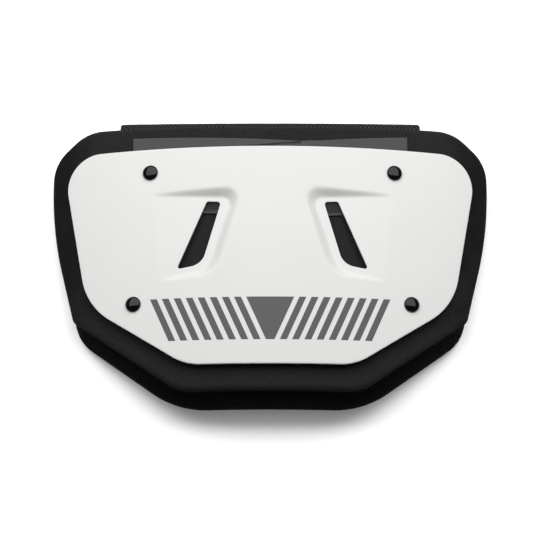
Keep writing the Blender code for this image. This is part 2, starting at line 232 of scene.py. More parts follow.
def slab(name, rings, holes, facePitch, backPitch, lift=None):
    # Flat closed solid; rings and each hole are lists of (line, depth) from the face to the back
    places = []
    polygons = []

    def addRow(line, depth):
        places.extend((u, v, -depth) for u, v in line)
        return len(places) - len(line)

    for wall in [rings] + holes:
        rows = [addRow(line, depth) for line, depth in wall]
        size = len(wall[0][0])
        for above, below in zip(rows, rows[1:]):
            for i in range(size):
                j = (i + 1) % size
                polygons.append((above + j, above + i, below + i, below + j))
    for end, pitch in ((0, facePitch), (-1, backPitch)):
        spots, triangles = fillFlat(rings[end][0], [hole[end][0] for hole in holes], pitch)
        first = addRow(spots, rings[end][1])
        turn = 1 if end == 0 else -1
        polygons.extend(tuple(first + i for i in triangle[::turn]) for triangle in triangles)
    if lift:
        places = np.array(places)
        places[:, 2] -= lift(places)
    return meshPiece(name, places, polygons)


def meshPiece(name, places, polygons):
    mesh = bpy.data.meshes.new(name)
    mesh.from_pydata([tuple(place) for place in places], [], polygons)
    shape = bmesh.new()
    shape.from_mesh(mesh)
    bmesh.ops.remove_doubles(shape, verts=shape.verts, dist=mergeDistance)
    bmesh.ops.delete(shape, geom=[v for v in shape.verts if not v.link_faces], context="VERTS")
    bmesh.ops.recalc_face_normals(shape, faces=shape.faces)
    if shape.calc_volume(signed=True) < 0:
        bmesh.ops.reverse_faces(shape, faces=shape.faces)
    shape.to_mesh(mesh)
    shape.free()
    piece = bpy.data.objects.new(name, mesh)
    bpy.context.scene.collection.objects.link(piece)
    return piece


def meshPlaces(mesh):
    places = np.zeros(len(mesh.vertices) * 3)
    mesh.vertices.foreach_get("co", places)
    return places.reshape(-1, 3)


def keepValue(mesh, name, values):
    # A named number for each point, which a material can read after the piece is bent
    layer = mesh.attributes.new(name, "FLOAT", "POINT")
    layer.data.foreach_set("value", np.asarray(values, np.float32))


def setPlaces(mesh, places):
    mesh.vertices.foreach_set("co", places.astype(np.float32).ravel())
    mesh.update()


# Node trees

def addNode(tree, kind, settings={}, links={}):
    # A node with its own settings; each of its inputs takes a number or another node's socket
    node = tree.nodes.new(kind)
    for key, value in settings.items():
        setattr(node, key, value)
    for key, value in links.items():
        if isinstance(value, bpy.types.NodeSocket):
            tree.links.new(value, node.inputs[key])
        else:
            node.inputs[key].default_value = value
    return node


def newTree(name, inputs):
    # Geometry tree with named inputs, and one mesh in and out
    tree = bpy.data.node_groups.new(name, "GeometryNodeTree")
    tree.interface.new_socket("Geometry", in_out="INPUT", socket_type="NodeSocketGeometry")
    for label, kind in inputs.items():
        tree.interface.new_socket(label, in_out="INPUT", socket_type=kind)
    tree.interface.new_socket("Geometry", in_out="OUTPUT", socket_type="NodeSocketGeometry")
    return tree, tree.nodes.new("NodeGroupInput").outputs


def bendInTree(tree, given, geometry):
    # Bends flat geometry round the axis: x = r sin(u / R), z = axis + r cos(u / R), r = R - depth
    spot = addNode(tree, "ShaderNodeSeparateXYZ", {}, {0: addNode(tree, "GeometryNodeInputPosition").outputs[0]})
    angle = addNode(tree, "ShaderNodeMath", {"operation": "DIVIDE"}, {0: spot.outputs[0], 1: given["Bend Radius"]})
    reach = addNode(tree, "ShaderNodeMath", {"operation": "ADD"}, {0: spot.outputs[2], 1: given["Bend Radius"]})
    sine = addNode(tree, "ShaderNodeMath", {"operation": "SINE"}, {0: angle.outputs[0]})
    cosine = addNode(tree, "ShaderNodeMath", {"operation": "COSINE"}, {0: angle.outputs[0]})
    across = addNode(tree, "ShaderNodeMath", {"operation": "MULTIPLY"}, {0: reach.outputs[0], 1: sine.outputs[0]})
    up = addNode(tree, "ShaderNodeMath", {"operation": "ADD"}, {0: spot.outputs[1], 1: given["Middle"]})
    height = addNode(
        tree, "ShaderNodeMath", {"operation": "MULTIPLY_ADD"},
        {0: reach.outputs[0], 1: cosine.outputs[0], 2: given["Axis Height"]},
    )
    place = addNode(
        tree, "ShaderNodeCombineXYZ", {}, {0: across.outputs[0], 1: up.outputs[0], 2: height.outputs[0]}
    )
    moved = addNode(tree, "GeometryNodeSetPosition", {}, {"Geometry": geometry, "Position": place.outputs[0]})
    return moved.outputs[0], angle.outputs[0]


def endTree(tree, geometry, material):
    # Every tree ends in plain mesh with its material
    real = addNode(tree, "GeometryNodeRealizeInstances", {}, {"Geometry": geometry})
    painted = addNode(
        tree, "GeometryNodeSetMaterial", {}, {"Geometry": real.outputs[0], "Material": material}
    )
    addNode(tree, "NodeGroupOutput", {}, {"Geometry": painted.outputs[0]})


bendInputs = {
    "Bend Radius": "NodeSocketFloat",
    "Axis Height": "NodeSocketFloat",
    "Middle": "NodeSocketFloat",
    "Material": "NodeSocketMaterial",
}
bendValues = {"Bend Radius": bend["radius"], "Axis Height": axisZ, "Middle": middleY}


def makeBendTree():
    tree, given = newTree("bentLayer", bendInputs)
    bent, angle = bendInTree(tree, given, given["Geometry"])
    endTree(tree, bent, given["Material"])
    return tree


def runTree(piece, tree, values):
    # Runs a tree on a piece, after its other modifiers, and keeps the result as its plain mesh
    modifier = piece.modifiers.new(tree.name, "NODES")
    modifier.node_group = tree
    for item in tree.interface.items_tree:
        if item.in_out == "INPUT" and item.name in values:
            modifier[item.identifier] = values[item.name]
    graph = bpy.context.evaluated_depsgraph_get()
    made = bpy.data.meshes.new_from_object(
        piece.evaluated_get(graph), preserve_all_data_layers=True, depsgraph=graph
    )
    piece.modifiers.clear()
    made.name = piece.name
    piece.data = made
    made.shade_smooth()
    made.set_sharp_from_angle(angle=sharpAngle)
    return piece


def bendPiece(piece, material):
    return runTree(piece, bendTree, {**bendValues, "Material": material})


bendTree = makeBendTree()


# Materials

def linearColour(code):
    # An sRGB hex code as a linear colour
    channels = [int(code[k:k + 2], 16) / 255 for k in (1, 3, 5)]
    return (*[c / 12.92 if c <= 0.04045 else ((c + 0.055) / 1.055) ** 2.4 for c in channels], 1.0)


def newMaterial(name, values):
    material = bpy.data.materials.new(name)
    material.use_nodes = True
    tree = material.node_tree
    shader = tree.nodes["Principled BSDF"]
    for socket, value in values.items():
        shader.inputs[socket].default_value = value
    return material, tree, shader


def makeShellPlastic():
    # Polypropylene, injection moulded white: a satin skin with a very slight orange peel
    look = {"white": "#E1E1DF", "shade": "#DDDDDB", "cloudSize": 45 * mm, "peelSize": 1.6 * mm}
    material, tree, shader = newMaterial("satinMouldedPolypropylene", {"Roughness": 0.42, "IOR": 1.49})
    place = addNode(tree, "ShaderNodeTexCoord").outputs["Object"]
    cloud = addNode(tree, "ShaderNodeTexNoise", {}, {"Vector": place, "Scale": 1 / look["cloudSize"], "Detail": 3.0})
    tint = addNode(
        tree, "ShaderNodeMix", {"data_type": "RGBA"},
        {0: cloud.outputs[0], 6: linearColour(look["white"]), 7: linearColour(look["shade"])},
    )
    peel = addNode(tree, "ShaderNodeTexNoise", {}, {"Vector": place, "Scale": 1 / look["peelSize"], "Detail": 2.0})
    bump = addNode(
        tree, "ShaderNodeBump", {}, {"Strength": 0.05, "Distance": 0.05 * mm, "Height": peel.outputs[0]}
    )
    tree.links.new(tint.outputs[2], shader.inputs["Base Color"])
    tree.links.new(bump.outputs[0], shader.inputs["Normal"])
    return material


def makeFoamSkin():
    # EVA foam, heat moulded black: a matt skin with a fine leathery grain, drawn coarser than life to show.
    # Painted light and shade: it is lighter near the middle and darker at the sides, and darkens down its rounded edge
    # to the wall, where shade falls.
    look = {
        "black": "#1A1A1A", "paintedLight": "#282828", "foot": "#060606", "paintedLightTo": 125 * mm, "paintedShadeFrom": 155 * mm,
        "cloudSize": 20 * mm, "grainSize": 1.1 * mm, "speckSize": 1.6 * mm,
    }
    material, tree, shader = newMaterial("heatMouldedEvaFoam", {"IOR": 1.45, "Specular IOR Level": 0.05})
    place = addNode(tree, "ShaderNodeTexCoord").outputs["Object"]
    spot = addNode(tree, "ShaderNodeSeparateXYZ", {}, {0: place})
    across = addNode(tree, "ShaderNodeMath", {"operation": "ABSOLUTE"}, {0: spot.outputs[0]})
    cloud = addNode(tree, "ShaderNodeTexNoise", {}, {"Vector": place, "Scale": 1 / look["cloudSize"], "Detail": 4.0})
    # Painted shade: the colour goes from the lighter middle to the darker black at the sides, which the lamp lights
    # less.
    edge = addNode(
        tree, "ShaderNodeMath", {"operation": "MULTIPLY_ADD"},
        {0: cloud.outputs[0], 1: 30 * mm, 2: across.outputs[0]},
    )
    paintedSideShade = addNode(
        tree, "ShaderNodeMapRange", {"interpolation_type": "SMOOTHSTEP"},
        {0: edge.outputs[0], 1: look["paintedLightTo"] + 15 * mm, 2: look["paintedShadeFrom"] + 15 * mm},
    )
    skin = addNode(
        tree, "ShaderNodeMix", {"data_type": "RGBA"},
        {0: paintedSideShade.outputs[0], 6: linearColour(look["paintedLight"]), 7: linearColour(look["black"])},
    )
    # Painted shade: the colour darkens to the foot colour down the rounded edge, which faces away from the lamp.
    depth = addNode(tree, "ShaderNodeAttribute", {"attribute_name": "depth"}).outputs["Fac"]
    low = addNode(
        tree, "ShaderNodeMapRange", {"interpolation_type": "SMOOTHSTEP"},
        {0: depth, 1: foamFace + 0.3 * mm, 2: foamFace + 3.6 * mm},
    )
    tint = addNode(
        tree, "ShaderNodeMix", {"data_type": "RGBA"},
        {0: low.outputs[0], 6: skin.outputs[2], 7: linearColour(look["foot"])},
    )
    speck = addNode(tree, "ShaderNodeTexNoise", {}, {"Vector": place, "Scale": 1 / look["speckSize"], "Detail": 2.0})
    value = addNode(tree, "ShaderNodeMapRange", {}, {0: speck.outputs[0], 1: 0.3, 2: 0.7, 3: 0.85, 4: 1.15})
    tint = addNode(tree, "ShaderNodeHueSaturation", {}, {"Color": tint.outputs[2], "Value": value.outputs[0]})
    grain = addNode(
        tree, "ShaderNodeTexVoronoi", {"feature": "SMOOTH_F1"}, {"Vector": place, "Scale": 1 / look["grainSize"]}
    )
    rough = addNode(tree, "ShaderNodeMapRange", {}, {0: cloud.outputs[0], 1: 0.3, 2: 0.7, 3: 0.74, 4: 0.84})
    bump = addNode(
        tree, "ShaderNodeBump", {}, {"Strength": 0.6, "Distance": 0.15 * mm, "Height": grain.outputs[0]}
    )
    tree.links.new(tint.outputs[0], shader.inputs["Base Color"])
    tree.links.new(rough.outputs[0], shader.inputs["Roughness"])
    tree.links.new(bump.outputs[0], shader.inputs["Normal"])
    return material


def makeSpacerKnit():
    # Polyester spacer mesh, warp knitted: matt yarn round rows of small holes, half a step apart.
    # The yarn is nearly black, with a painted highlight on the tab, whose upward face catches the lamp. Both cells are
    # drawn a little coarse.
    look = {
        "yarn": "#131315", "hole": "#010101", "tabHighlightYarn": "#4B4B4C", "tabHighlightHole": "#020202",
        "paintedLightFrom": foamTop + middleY - 9 * mm, "paintedLightTo": foamTop + middleY - 4 * mm,
        "across": 3.1 * mm, "up": 2.2 * mm, "warp": 0.7 * mm, "warpSize": 14 * mm, "fuzzSize": 0.5 * mm,
    }
    material, tree, shader = newMaterial(
        "warpKnittedSpacerMesh", {"Roughness": 0.95, "Specular IOR Level": 0.04, "Sheen Weight": 0.01}
    )
    place = addNode(tree, "ShaderNodeUVMap", {"uv_map": "surface"}).outputs[0]
    drift = addNode(tree, "ShaderNodeTexNoise", {}, {"Vector": place, "Scale": 1 / look["warpSize"], "Detail": 1.0})
    centred = addNode(
        tree, "ShaderNodeVectorMath", {"operation": "SUBTRACT"}, {0: drift.outputs["Color"], 1: (0.5, 0.5, 0.5)}
    )
    warp = addNode(
        tree, "ShaderNodeVectorMath", {"operation": "SCALE"}, {0: centred.outputs[0], "Scale": 2 * look["warp"]}
    )
    spot = addNode(tree, "ShaderNodeVectorMath", {"operation": "ADD"}, {0: place, 1: warp.outputs[0]})
    spot = addNode(tree, "ShaderNodeSeparateXYZ", {}, {0: spot.outputs[0]})
    waves = []
    for axis, size in ((0, look["across"]), (1, look["up"])):
        turn = addNode(
            tree, "ShaderNodeMath", {"operation": "MULTIPLY"}, {0: spot.outputs[axis], 1: 2 * pi / size}
        )
        waves.append(addNode(tree, "ShaderNodeMath", {"operation": "COSINE"}, {0: turn.outputs[0]}).outputs[0])
    cells = addNode(tree, "ShaderNodeMath", {"operation": "MULTIPLY"}, {0: waves[0], 1: waves[1]})
    hole = addNode(
        tree, "ShaderNodeMapRange", {"interpolation_type": "SMOOTHSTEP"}, {0: cells.outputs[0], 1: -0.3, 2: 0.3}
    )
    inObject = addNode(tree, "ShaderNodeTexCoord").outputs["Object"]
    up = addNode(tree, "ShaderNodeSeparateXYZ", {}, {0: inObject})
    # Painted highlight: the tab's yarn and holes are lighter, as its upward face catches the lamp.
    paintedLight = addNode(
        tree, "ShaderNodeMapRange", {}, {0: up.outputs[1], 1: look["paintedLightFrom"], 2: look["paintedLightTo"]}
    )
    tints = []
    for plain, highlighted in (("yarn", "tabHighlightYarn"), ("hole", "tabHighlightHole")):
        tints.append(addNode(
            tree, "ShaderNodeMix", {"data_type": "RGBA"},
            {0: paintedLight.outputs[0], 6: linearColour(look[plain]), 7: linearColour(look[highlighted])},
        ).outputs[2])
    tint = addNode(
        tree, "ShaderNodeMix", {"data_type": "RGBA"}, {0: hole.outputs[0], 6: tints[0], 7: tints[1]}
    )
    fuzz = addNode(tree, "ShaderNodeTexNoise", {}, {"Vector": place, "Scale": 1 / look["fuzzSize"], "Detail": 2.0})
    height = addNode(
        tree, "ShaderNodeMath", {"operation": "MULTIPLY_ADD"}, {0: hole.outputs[0], 1: -1.0, 2: fuzz.outputs[0]}
    )
    bump = addNode(
        tree, "ShaderNodeBump", {}, {"Strength": 0.8, "Distance": 0.6 * mm, "Height": height.outputs[0]}
    )
    tree.links.new(tint.outputs[2], shader.inputs["Base Color"])
    tree.links.new(bump.outputs[0], shader.inputs["Normal"])
    return material


def makeWebbing():
    # Nylon webbing, woven flat: fine ribs along the band with a small cross weave, and next to no shine.
    # Painted shade: it is darker under the shell, in the shade of the slots. A painted shadow line runs along the
    # upper band's top edge, where it lies over the lower band, and a painted highlight runs along both bottom edges.
    look = {
        "unshaded": "#4F4F4F", "unshadedValley": "#464646", "paintedShade": "#282828", "paintedShadeValley": "#1F1F1F",
        "unshadedFrom": shellTop + middleY - 3 * mm, "paintedShadowLine": "#161616", "paintedHighlightLine": "#4C4C4D",
        "rib": 1.3 * mm, "pick": 1.3 * mm,
    }
    material, tree, shader = newMaterial(
        "wovenNylonWebbing", {"Roughness": 0.65, "Specular IOR Level": 0.2, "Sheen Weight": 0.05, "Sheen Roughness": 0.4}
    )
    place = addNode(tree, "ShaderNodeUVMap", {"uv_map": "surface"}).outputs[0]
    spot = addNode(tree, "ShaderNodeSeparateXYZ", {}, {0: place})
    along = addNode(tree, "ShaderNodeMath", {"operation": "MULTIPLY"}, {0: spot.outputs[0], 1: 2 * pi / look["pick"]})
    across = addNode(tree, "ShaderNodeMath", {"operation": "MULTIPLY"}, {0: spot.outputs[1], 1: 2 * pi / look["rib"]})
    ribs = addNode(tree, "ShaderNodeMath", {"operation": "SINE"}, {0: across.outputs[0]})
    slant = addNode(tree, "ShaderNodeMath", {"operation": "ADD"}, {0: along.outputs[0], 1: across.outputs[0]})
    picks = addNode(tree, "ShaderNodeMath", {"operation": "SINE"}, {0: slant.outputs[0]})
    weave = addNode(
        tree, "ShaderNodeMath", {"operation": "MULTIPLY_ADD"}, {0: picks.outputs[0], 1: 0.4, 2: ribs.outputs[0]}
    )
    share = addNode(tree, "ShaderNodeMapRange", {}, {0: weave.outputs[0], 1: -1.4, 2: 0.6})
    inObject = addNode(tree, "ShaderNodeTexCoord").outputs["Object"]
    up = addNode(tree, "ShaderNodeSeparateXYZ", {}, {0: inObject})
    # Painted shade: the band darkens below the shell's top edge.
    unshaded = addNode(
        tree, "ShaderNodeMapRange", {},
        {0: up.outputs[1], 1: look["unshadedFrom"] - 4 * mm, 2: look["unshadedFrom"]},
    )
    tints = []
    for dark, pale in (("paintedShadeValley", "unshadedValley"), ("paintedShade", "unshaded")):
        tints.append(addNode(
            tree, "ShaderNodeMix", {"data_type": "RGBA"},
            {0: unshaded.outputs[0], 6: linearColour(look[dark]), 7: linearColour(look[pale])},
        ).outputs[2])
    tint = addNode(
        tree, "ShaderNodeMix", {"data_type": "RGBA"}, {0: share.outputs[0], 6: tints[0], 7: tints[1]}
    ).outputs[2]
    # Painted shadow line on the upper band's top edge, and painted highlight on both bottom edges.
    for edge, lineColour in (("topSelvedge", "paintedShadowLine"), ("bottomSelvedge", "paintedHighlightLine")):
        paintedEdgeMask = addNode(tree, "ShaderNodeAttribute", {"attribute_name": edge}).outputs["Fac"]
        tint = addNode(
            tree, "ShaderNodeMix", {"data_type": "RGBA"}, {0: paintedEdgeMask, 6: tint, 7: linearColour(look[lineColour])}
        ).outputs[2]
    bump = addNode(
        tree, "ShaderNodeBump", {}, {"Strength": 0.35, "Distance": 0.2 * mm, "Height": weave.outputs[0]}
    )
    tree.links.new(tint, shader.inputs["Base Color"])
    tree.links.new(bump.outputs[0], shader.inputs["Normal"])
    return material


def makeRivetPlastic():
    # Acetal, injection moulded black: a glossy skin that mirrors the lamp, faintly uneven
    look = {"black": "#020202", "smearSize": 3 * mm}
    material, tree, shader = newMaterial(
        "glossyMouldedAcetal",
        {"Base Color": linearColour(look["black"]), "IOR": 1.48, "Specular IOR Level": 0.36},
    )
    place = addNode(tree, "ShaderNodeTexCoord").outputs["Object"]
    smear = addNode(tree, "ShaderNodeTexNoise", {}, {"Vector": place, "Scale": 1 / look["smearSize"], "Detail": 3.0})
    rough = addNode(tree, "ShaderNodeMapRange", {}, {0: smear.outputs[0], 1: 0.3, 2: 0.7, 3: 0.07, 4: 0.13})
    tree.links.new(rough.outputs[0], shader.inputs["Roughness"])
    return material


def makeInk():
    # Two-part ink, pad printed: dark grey, flatter than the plastic under it, with a trace of pinholes
    look = {"ink": "#474747", "thin": "#525252", "pinhole": 1.2 * mm}
    material, tree, shader = newMaterial("padPrintedInk", {"Roughness": 0.5, "IOR": 1.5})
    place = addNode(tree, "ShaderNodeTexCoord").outputs["Object"]
    speck = addNode(tree, "ShaderNodeTexNoise", {}, {"Vector": place, "Scale": 1 / look["pinhole"], "Detail": 3.0})
    tint = addNode(
        tree, "ShaderNodeMix", {"data_type": "RGBA"},
        {0: speck.outputs[0], 6: linearColour(look["ink"]), 7: linearColour(look["thin"])},
    )
    tree.links.new(tint.outputs[2], shader.inputs["Base Color"])
    return material


# Shell, with its scoops, vent slots and rivet bosses

offCentre = 1.65 * mm  # the photo shows slots, scoops and rivets this far right of the outlines' middle
shell = {
    # Corners of the right half from the top: across as a share of half the width, up and radius of the height
    "corners": ((1.046, 1.000, 0.158), (0.892, 0.286, 0.300), (0.402, 0.000, 0.240)),
    "edgeRadius": 0.5 * mm,
    "facePitch": 1.2 * mm,
    "backPitch": 3.0 * mm,
}
scoop = {
    "depth": 4.3 * mm,  # on the face; the back is pushed in by less, so the wall thins there
    "softTo": 0.42,  # the wall steepens to this share of its width
    "creaseFrom": 0.90,  # and flattens into the floor from this one
    # Rim and foot of the right scoop, from its upper tail round the inner side, in the same shares
    "rim": ((0.588, 0.786, 0.000), (0.131, 0.823, 0.062), (0.257, 0.400, 0.136), (0.538, 0.381, 0.000)),
    "foot": ((0.588, 0.778, 0.000), (0.195, 0.766, 0.034), (0.319, 0.430, 0.074), (0.538, 0.381, 0.000)),
    "fullAt": 0.275,  # share of half the width where the floor is deepest
    "pitch": 1.0 * mm,
}
slot = {
    # Top outer, top inner, bottom inner and tip of the right slot
    "corners": ((0.319, 0.749, 0.013), (0.251, 0.747, 0.013), (0.341, 0.457, 0.080), (0.461, 0.434, 0.009)),
    "edgeRadius": 0.35 * mm,
    "pitch": 0.9 * mm,
}
rivet = {
    # Side, inset from the shell's widest line, height as a share of half the height, strap under it or not
    "places": ((-1, 60.6 * mm, 0.776, True), (1, 60.6 * mm, 0.776, True),
               (-1, 49.8 * mm, -0.440, False), (1, 49.8 * mm, -0.440, False)),
    "headRadius": 5.6 * mm,
    "headHeight": 2.8 * mm,
    "rim": 0.5 * mm,
    "rimRound": 0.25 * mm,
    "shankRadius": 2.5 * mm,
    "flangeRadius": 6.0 * mm,
    "flangeThickness": 1.2 * mm,
    "bossRadius": 5.5 * mm,
    "sides": 48,
}


def shellCorners(shares):
    return [(a * shellHalf, up * shellHeight - shellTop, r * shellHeight) for a, up, r in shares]


def scoopDepth(points):
    deepest = np.where(points[:, 2] > -layers["shell"] / 2, scoop["depth"], layers["scoop"])
    points = np.stack((np.abs(points[:, 0] - offCentre), points[:, 1]), 1)
    rim = roundedLine(shellCorners(scoop["rim"]), scoop["pitch"], closed=False)
    foot = roundedLine(shellCorners(scoop["foot"]), scoop["pitch"], closed=False)
    toRim = distanceToLine(points, rim, False)[0]
    toFoot = distanceToLine(points, foot, False)[0]
    wall = np.where(insideLine(points, rim), toRim / (toRim + toFoot + mergeDistance), 0.0)
    wall = np.where(insideLine(points, foot), 1.0, wall)
    share = (points[:, 1] - foot[-1].y) / (foot[0].y - foot[-1].y)
    fadeAt = foot[-1].x + share * (foot[0].x - foot[-1].x)
    fullAt = scoop["fullAt"] * shellHalf
    fade = np.clip((fadeAt - points[:, 0]) / (fadeAt - fullAt), 0, 1)
    soft, crease = scoop["softTo"], scoop["creaseFrom"]
    fall = np.where(wall < soft, wall * wall / (2 * soft), wall - soft / 2)
    fall -= np.clip(wall - crease, 0, None) ** 2 / (2 * (1 - crease))
    return deepest * fall / (1 - soft / 2 - (1 - crease) / 2) * fade


def rivetSpot(row):
    return row[0] * (shellHalf - row[1]) + offCentre, row[2] * shellTop


def onSide(side, rings):
    return [([Vector((side * u + offCentre, v)) for u, v in line[::side]], depth) for line, depth in rings]


def makeShell(material):
    thick = layers["shell"]
    radius = shell["edgeRadius"]
    profile = roundOver(radius, 5) + [(i, thick - d) for i, d in roundOver(radius / 2, 3)[::-1]]
    rings = insetRings(bothHalves(shellCorners(shell["corners"])), profile, shell["facePitch"])
    radius = slot["edgeRadius"]
    profile = roundOver(radius, 4) + [(i, thick - d) for i, d in roundOver(radius / 2, 2)[::-1]]
    vent = insetRings(shellCorners(slot["corners"]), [(-i, d) for i, d in profile], slot["pitch"])
    holes = [onSide(1, vent), onSide(-1, vent)]
    for row in rivet["places"]:
        foot = (strapLow if row[3] else foamFace) - layers["gap"]
        narrow = circleLine(*rivetSpot(row), rivet["shankRadius"] + layers["gap"], rivet["sides"])
        wide = circleLine(*rivetSpot(row), rivet["bossRadius"], rivet["sides"])
        holes.append([(narrow, 0.0), (narrow, foot), (wide, foot), (wide, thick)])
    piece = slab("shell", rings, holes, shell["facePitch"], shell["backPitch"], scoopDepth)
    bendPiece(piece, material)
    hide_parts("outer_plate")
    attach(piece, "root")
    print("stage: shell made,", len(piece.data.polygons), "faces")


# Moulded foam under the shell

foam = {
    # Corners of the right half from the dip at its top middle: shares of half the width and of the height
    "corners": ((0.000, 0.988, 0.000), (0.837, 1.007, 0.175), (1.000, 0.893, 0.145), (1.000, 0.635, 1.300),
                (0.881, 0.275, 0.035), (0.393, 0.000, 0.160)),
    "edgeRadius": 4.0 * mm,
    "lipWidth": 0.6 * mm,
    "lipThickness": 1.4 * mm,
    "pitch": 3.0 * mm,
    "fill": 1.0,
}


def makeFoam(material):
    corners = bothHalves(
        [(a * foamHalf, foamBottom + up * foamHeight, r * foamHeight) for a, up, r in foam["corners"]]
    )
    lip = foam["lipThickness"]
    lipFace = foamBack - lip
    profile = [(foam["lipWidth"] + i, d) for i, d in roundOver(foam["edgeRadius"], 10, foamFace)]
    crease = foam["lipWidth"] / 4
    profile.append((foam["lipWidth"], lipFace - crease))
    profile.append((foam["lipWidth"] - crease / 3, lipFace - crease / 3))
    profile.append((foam["lipWidth"] - crease, lipFace))
    for k in range(7):  # the lip's edge is half round
        angle = pi * k / 6
        profile.append((lip / 2 * (1 - sin(angle)), foamBack - lip / 2 - lip / 2 * cos(angle)))
    rings = insetRings(corners, profile, foam["pitch"])
    pocket = foamBack - rivet["flangeThickness"] - layers["gap"]
    holes = []
    for row in rivet["places"]:
        narrow = circleLine(*rivetSpot(row), rivet["shankRadius"] + layers["gap"], rivet["sides"] // 2)
        wide = circleLine(*rivetSpot(row), rivet["flangeRadius"] + layers["gap"], rivet["sides"] // 2)
        holes.append([(narrow, foamFace), (narrow, pocket), (wide, pocket), (wide, foamBack)])
    piece = slab("moulded_foam", rings, holes, foam["pitch"], 2 * foam["pitch"])
    keepValue(piece.data, "depth", -meshPlaces(piece.data)[:, 2])
    bendPiece(piece, material)
    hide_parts("front_foam")
    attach(piece, "root")
    print("stage: foam made,", len(piece.data.polygons), "faces")


# Knit-covered pad behind the foam

pad = {
    "flare": 11.8 * mm,
    "edgeRadius": 5.5 * mm,
    "tabWidth": 234.5 * mm,
    "tabOver": 1.3 * mm,  # the tab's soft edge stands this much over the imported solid
    "tabDip": 4.6 * mm,
    "tabTuck": 4.0 * mm,
    # Corners of the right half below the tab, on the seam, then how far the widest line stands outside it
    "corners": ((0.826, 0.980, 0.165, 0.10, 0.05), (0.985, 0.884, 0.110, 0.10, 0.05),
                (0.991, 0.642, 1.300, 0.20, 0.00), (0.878, 0.277, 0.155, 0.29, -0.96),
                (0.391, 0.005, 0.380, 0.43, -1.00)),
    # Depth, way from seam to widest line, inset and height of the tab, all as shares
    "sections": ((0.00, 0.00, 0.25, 0.92), (0.03, 0.00, 0.10, 0.97), (0.09, 0.03, 0.00, 1.00),
                 (0.20, 0.24, 0.00, 1.00), (0.38, 0.62, 0.00, 0.95), (0.55, 0.92, 0.00, 0.84),
                 (0.70, 1.00, 0.00, 0.68), (0.82, 1.00, 0.10, 0.53), (0.93, 1.00, 0.40, 0.41),
                 (1.00, 1.00, 1.00, 0.35)),
    "pitch": 4.0 * mm,
    "slack": 0.8 * mm,  # the cover starts this much inside the pad and is blown up to it
    "looseBand": 22.0 * mm,  # the cover is loose on the walls and this far onto the back
    "pressure": 4.0,
    "frames": 20,
    "mostPuff": 1.6 * mm,
    "fill": 0.7,
}


def padCorners(widen, rise):
    tuck = foamTop - pad["tabTuck"]
    top = tuck + rise * (padHigh.y + pad["tabOver"] - middleY - tuck)
    half = pad["tabWidth"] / 2
    shares = [k / 4 for k in range(5)]  # the dip is a parabola, which the bend turns into a straight top
    right = [(half * share, top - rise * pad["tabDip"] * (1 - share * share), 0.0) for share in shares]
    right.append((half, tuck, 0.0))
    for across, up, radius, out, over in pad["corners"]:
        u = across * foamHalf + widen * out * pad["flare"]
        v = foamBottom + up * foamHeight + widen * over * pad["flare"]
        right.append((u, v, radius * foamHeight))
    return bothHalves(right)


def laySurface(mesh, outline, origin):
    # UV map in metres: along the outline and down it on the walls, plain u and v on the faces
    layer = mesh.uv_layers.new(name="surface")
    places = meshPlaces(mesh)
    along, whole = distanceToLine(places[:, :2], outline)[1:]
    for polygon in mesh.polygons:
        corners = list(polygon.vertices)
        wall = abs(polygon.normal.z) < 0.6
        rounds = [along[k] for k in corners]
        for loop, k, s in zip(polygon.loop_indices, corners, rounds):
            if wall:
                if max(rounds) - s > whole / 2:
                    s += whole
                layer.data[loop].uv = (s, -places[k, 2] - origin)
            else:
                layer.data[loop].uv = tuple(places[k, :2])


def puffPad(piece, backLine):
    # The cover is cloth, glued to the foam on its face and to the padding at the back, but loose at the walls
    mesh = piece.data
    start = meshPlaces(mesh)
    face = -start[:, 2] < padFace + 0.4 * mm
    inner = insideLine(start[:, :2], backLine) & (distanceToLine(start[:, :2], backLine)[0] > pad["looseBand"])
    glued = piece.vertex_groups.new(name="glued")
    glued.add([int(k) for k in np.nonzero(face | inner)[0]], 1.0, "REPLACE")
    cloth = piece.modifiers.new("Cloth", "CLOTH")
    cloth.settings.vertex_group_mass = "glued"
    cloth.settings.use_pressure = True
    cloth.settings.uniform_pressure_force = pad["pressure"]
    cloth.settings.effector_weights.gravity = 0
    cloth.collision_settings.use_collision = False
    scene = bpy.context.scene
    for k in range(1, pad["frames"] + 1):
        scene.frame_set(k)
    graph = bpy.context.evaluated_depsgraph_get()
    puffed = meshPlaces(piece.evaluated_get(graph).data)
    piece.modifiers.clear()
    scene.frame_set(1)
    moved = puffed - start
    outward = np.array([tuple(vertex.normal) for vertex in mesh.vertices])
    sunk = np.minimum(0.0, (moved * outward).sum(axis=1, keepdims=True))
    moved -= sunk * outward  # the padding inside holds the cover out
    length = np.linalg.norm(moved, axis=1, keepdims=True)
    print("stage: cover blown up, mean", round(float(length.mean()) / mm, 2), "mm, most",
          round(float(length.max()) / mm, 2), "mm")
    moved *= np.minimum(1.0, pad["mostPuff"] / np.maximum(length, mergeDistance))
    places = start + moved
    places[:, 2] = np.minimum(places[:, 2], -padFace)  # the foam keeps its place
    setPlaces(mesh, places)


